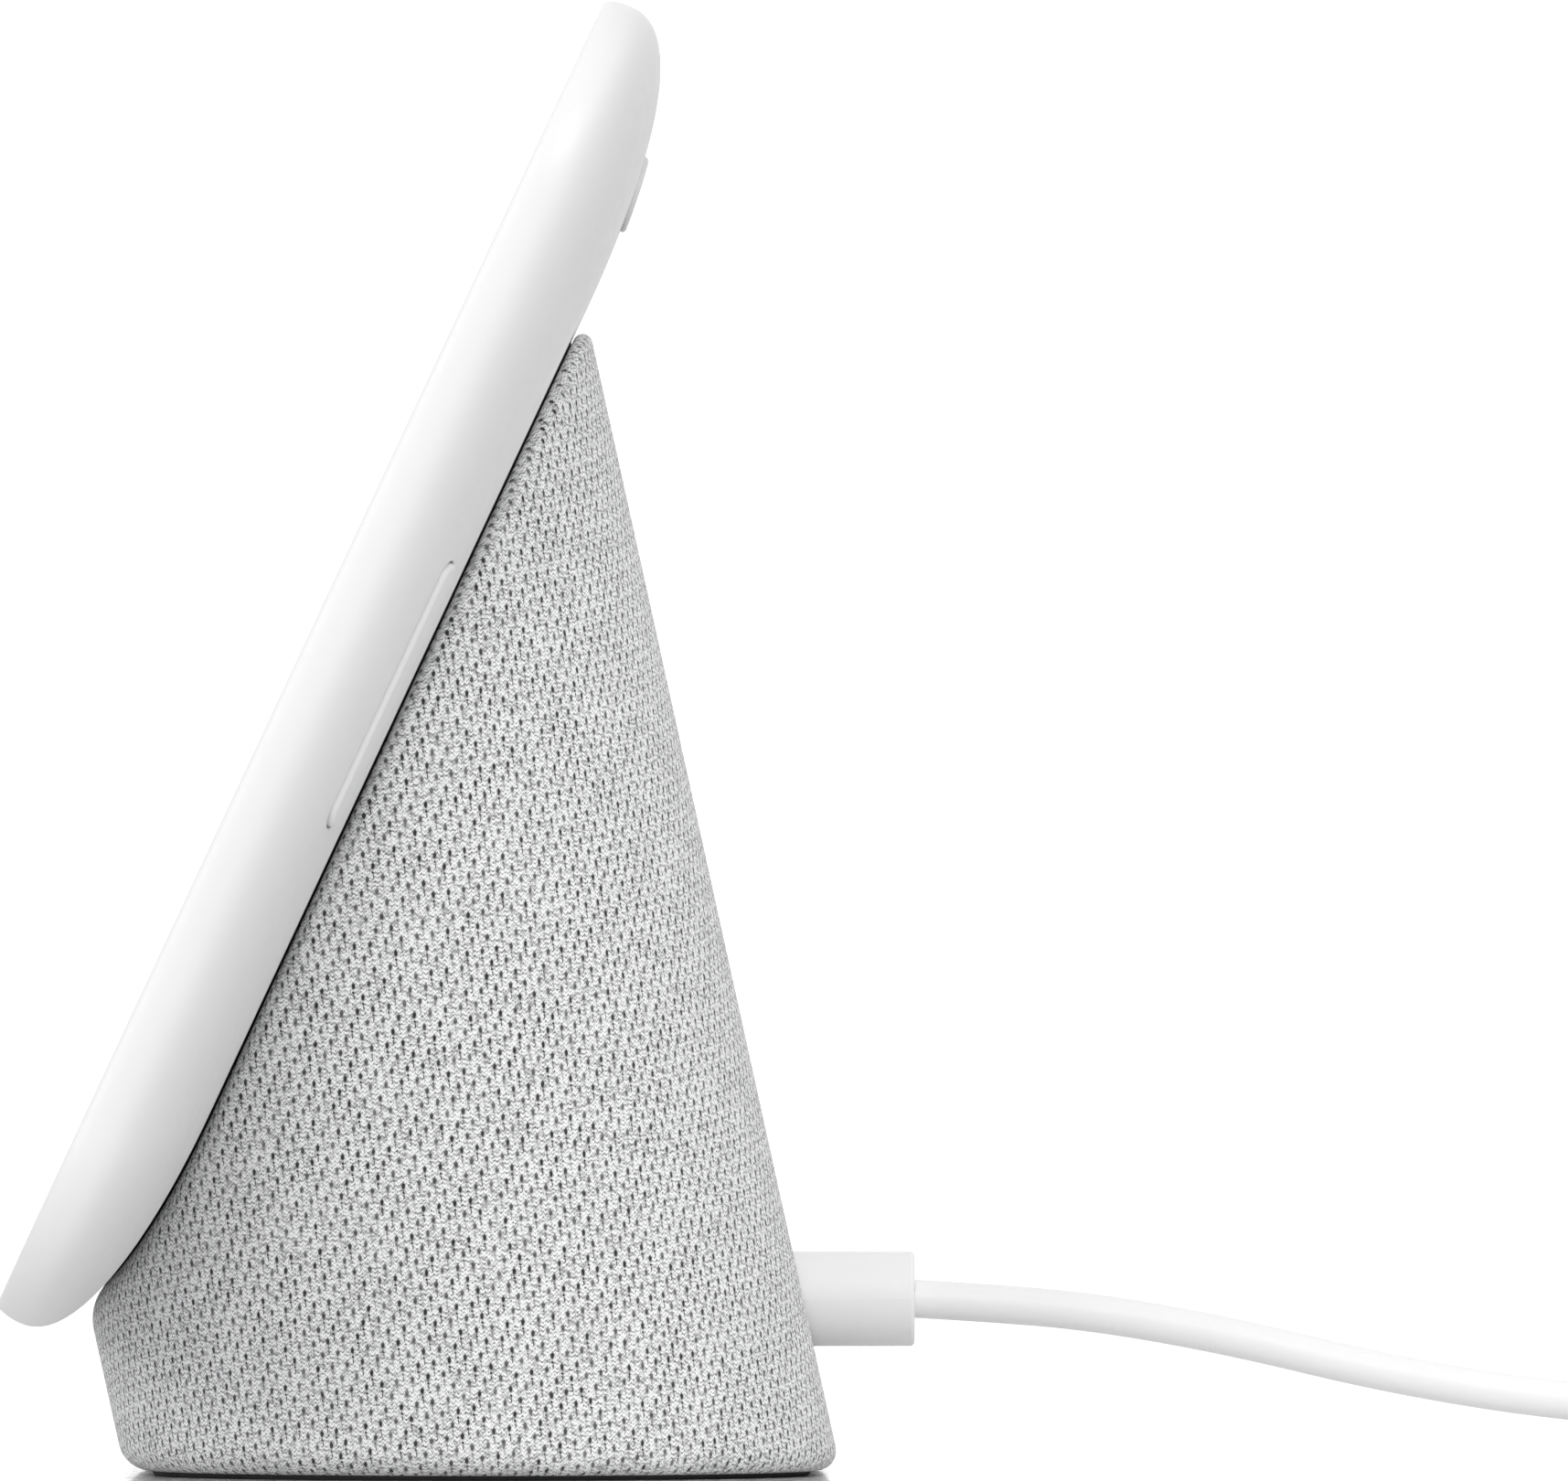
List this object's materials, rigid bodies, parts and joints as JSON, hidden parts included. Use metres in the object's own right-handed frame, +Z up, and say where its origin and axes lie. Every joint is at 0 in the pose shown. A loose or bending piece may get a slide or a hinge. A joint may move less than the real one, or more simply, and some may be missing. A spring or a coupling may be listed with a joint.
{
  "type": "smart display",
  "caption": "Tabletop smart display: tilted touch screen in a slim rounded shell on a leaning knit-covered base with speaker, volume rocker, mic switch and power lead.",
  "frame": {"origin": "middle of the box under the display and base, on the table the foot stands on", "axes": "+X across the display, +Y towards the rear and the power lead, +Z up"},
  "size_m": [0.1784, 0.2671, 0.118],
  "materials": {
    "white_shell": "fine satin",
    "display_glass": "printed glass, polished",
    "panel": "dark panel",
    "dark_plastic": "moulded",
    "grey_plastic": "moulded",
    "circuit_board": "solder mask",
    "chip_black": "moulded",
    "tinned_steel": "tinned",
    "aluminium_sheet": "brushed",
    "zinc_steel": "zinc plated",
    "soft_rubber": "matt",
    "foot_rubber": "matt, fine texture",
    "knit_fabric": "heathered knit",
    "flex_film": "film",
    "cable_sheath": "smooth",
    "dark_cable": "smooth",
    "paper_cone": "pressed fibre",
    "ferrite": "sintered",
    "nickel": "nickel plated",
    "tie_cloth": "hook and loop"
  },
  "bodies": {
    "display_and_base": {"front_glass": "display_glass", "lcd_panel": "panel", "mid_frame": "dark_plastic", "rear_housing": "white_shell", "rocker_board": "circuit_board", "rocker_switches": "tinned_steel", "mic_switch_board": "circuit_board", "mic_slide_switch": "tinned_steel", "main_board": "circuit_board", "board_chips": "chip_black", "shield_can": "tinned_steel", "heat_spreader": "aluminium_sheet", "sensor_board": "circuit_board", "microphones": "tinned_steel", "mic_gaskets": "soft_rubber", "light_sensor": "chip_black", "wifi_antennas": "flex_film", "panel_ribbon": "flex_film", "housing_screws": "zinc_steel", "board_screws": "zinc_steel", "neck_bracket": "zinc_steel", "neck_screws": "zinc_steel", "base_shell": "grey_plastic", "fabric_sleeve": "knit_fabric", "bottom_plate": "grey_plastic", "foot_pad": "foot_rubber", "base_weight": "zinc_steel", "base_screws": "zinc_steel", "power_board": "circuit_board", "power_chips": "chip_black", "power_board_screws": "zinc_steel", "dc_jack": "dark_plastic", "power_harness": "dark_cable", "speaker_gasket": "soft_rubber", "speaker_basket": "dark_plastic", "speaker_magnet": "ferrite", "speaker_yoke": "zinc_steel", "speaker_surround": "soft_rubber", "speaker_spider": "flex_film", "speaker_screws": "zinc_steel"},
    "rocker": {"volume_rocker": "white_shell"},
    "mic_knob": {"mic_switch_knob": "white_shell"},
    "cone": {"speaker_cone": "paper_cone"},
    "power_lead": {"dc_plug": "white_shell", "plug_barrel": "nickel", "power_cord": "cable_sheath", "power_cord_tail": "cable_sheath", "power_cord_coil": "cable_sheath", "cord_tie": "tie_cloth", "adapter_body": "white_shell", "adapter_relief": "cable_sheath", "adapter_blades": "nickel"}
  },
  "joints": [
    {"name": "rocker_tilt", "type": "hinge", "parent": "display_and_base", "child": "rocker", "pos_m": [0.08055, -0.00272, 0.06312], "axis": [1, 0, 0], "range_deg": [-1.2, 1.2], "stiffness_Nm_per_rad": 0.5},
    {"name": "mic_switch_slide", "type": "slide", "parent": "display_and_base", "child": "mic_knob", "axis": [1, 0, 0], "range_m": [0, 0.004]},
    {"name": "cone_travel", "type": "slide", "parent": "display_and_base", "child": "cone", "axis": [0, 0.9766, 0.2151], "range_m": [-0.0015, 0.0015], "stiffness_N_per_m": 1500, "deforming": ["speaker_surround", "speaker_spider"]},
    {"name": "plug_pull", "type": "slide", "parent": "display_and_base", "child": "power_lead", "axis": [0, 1, 0], "range_m": [0, 0.012]}
  ]
}
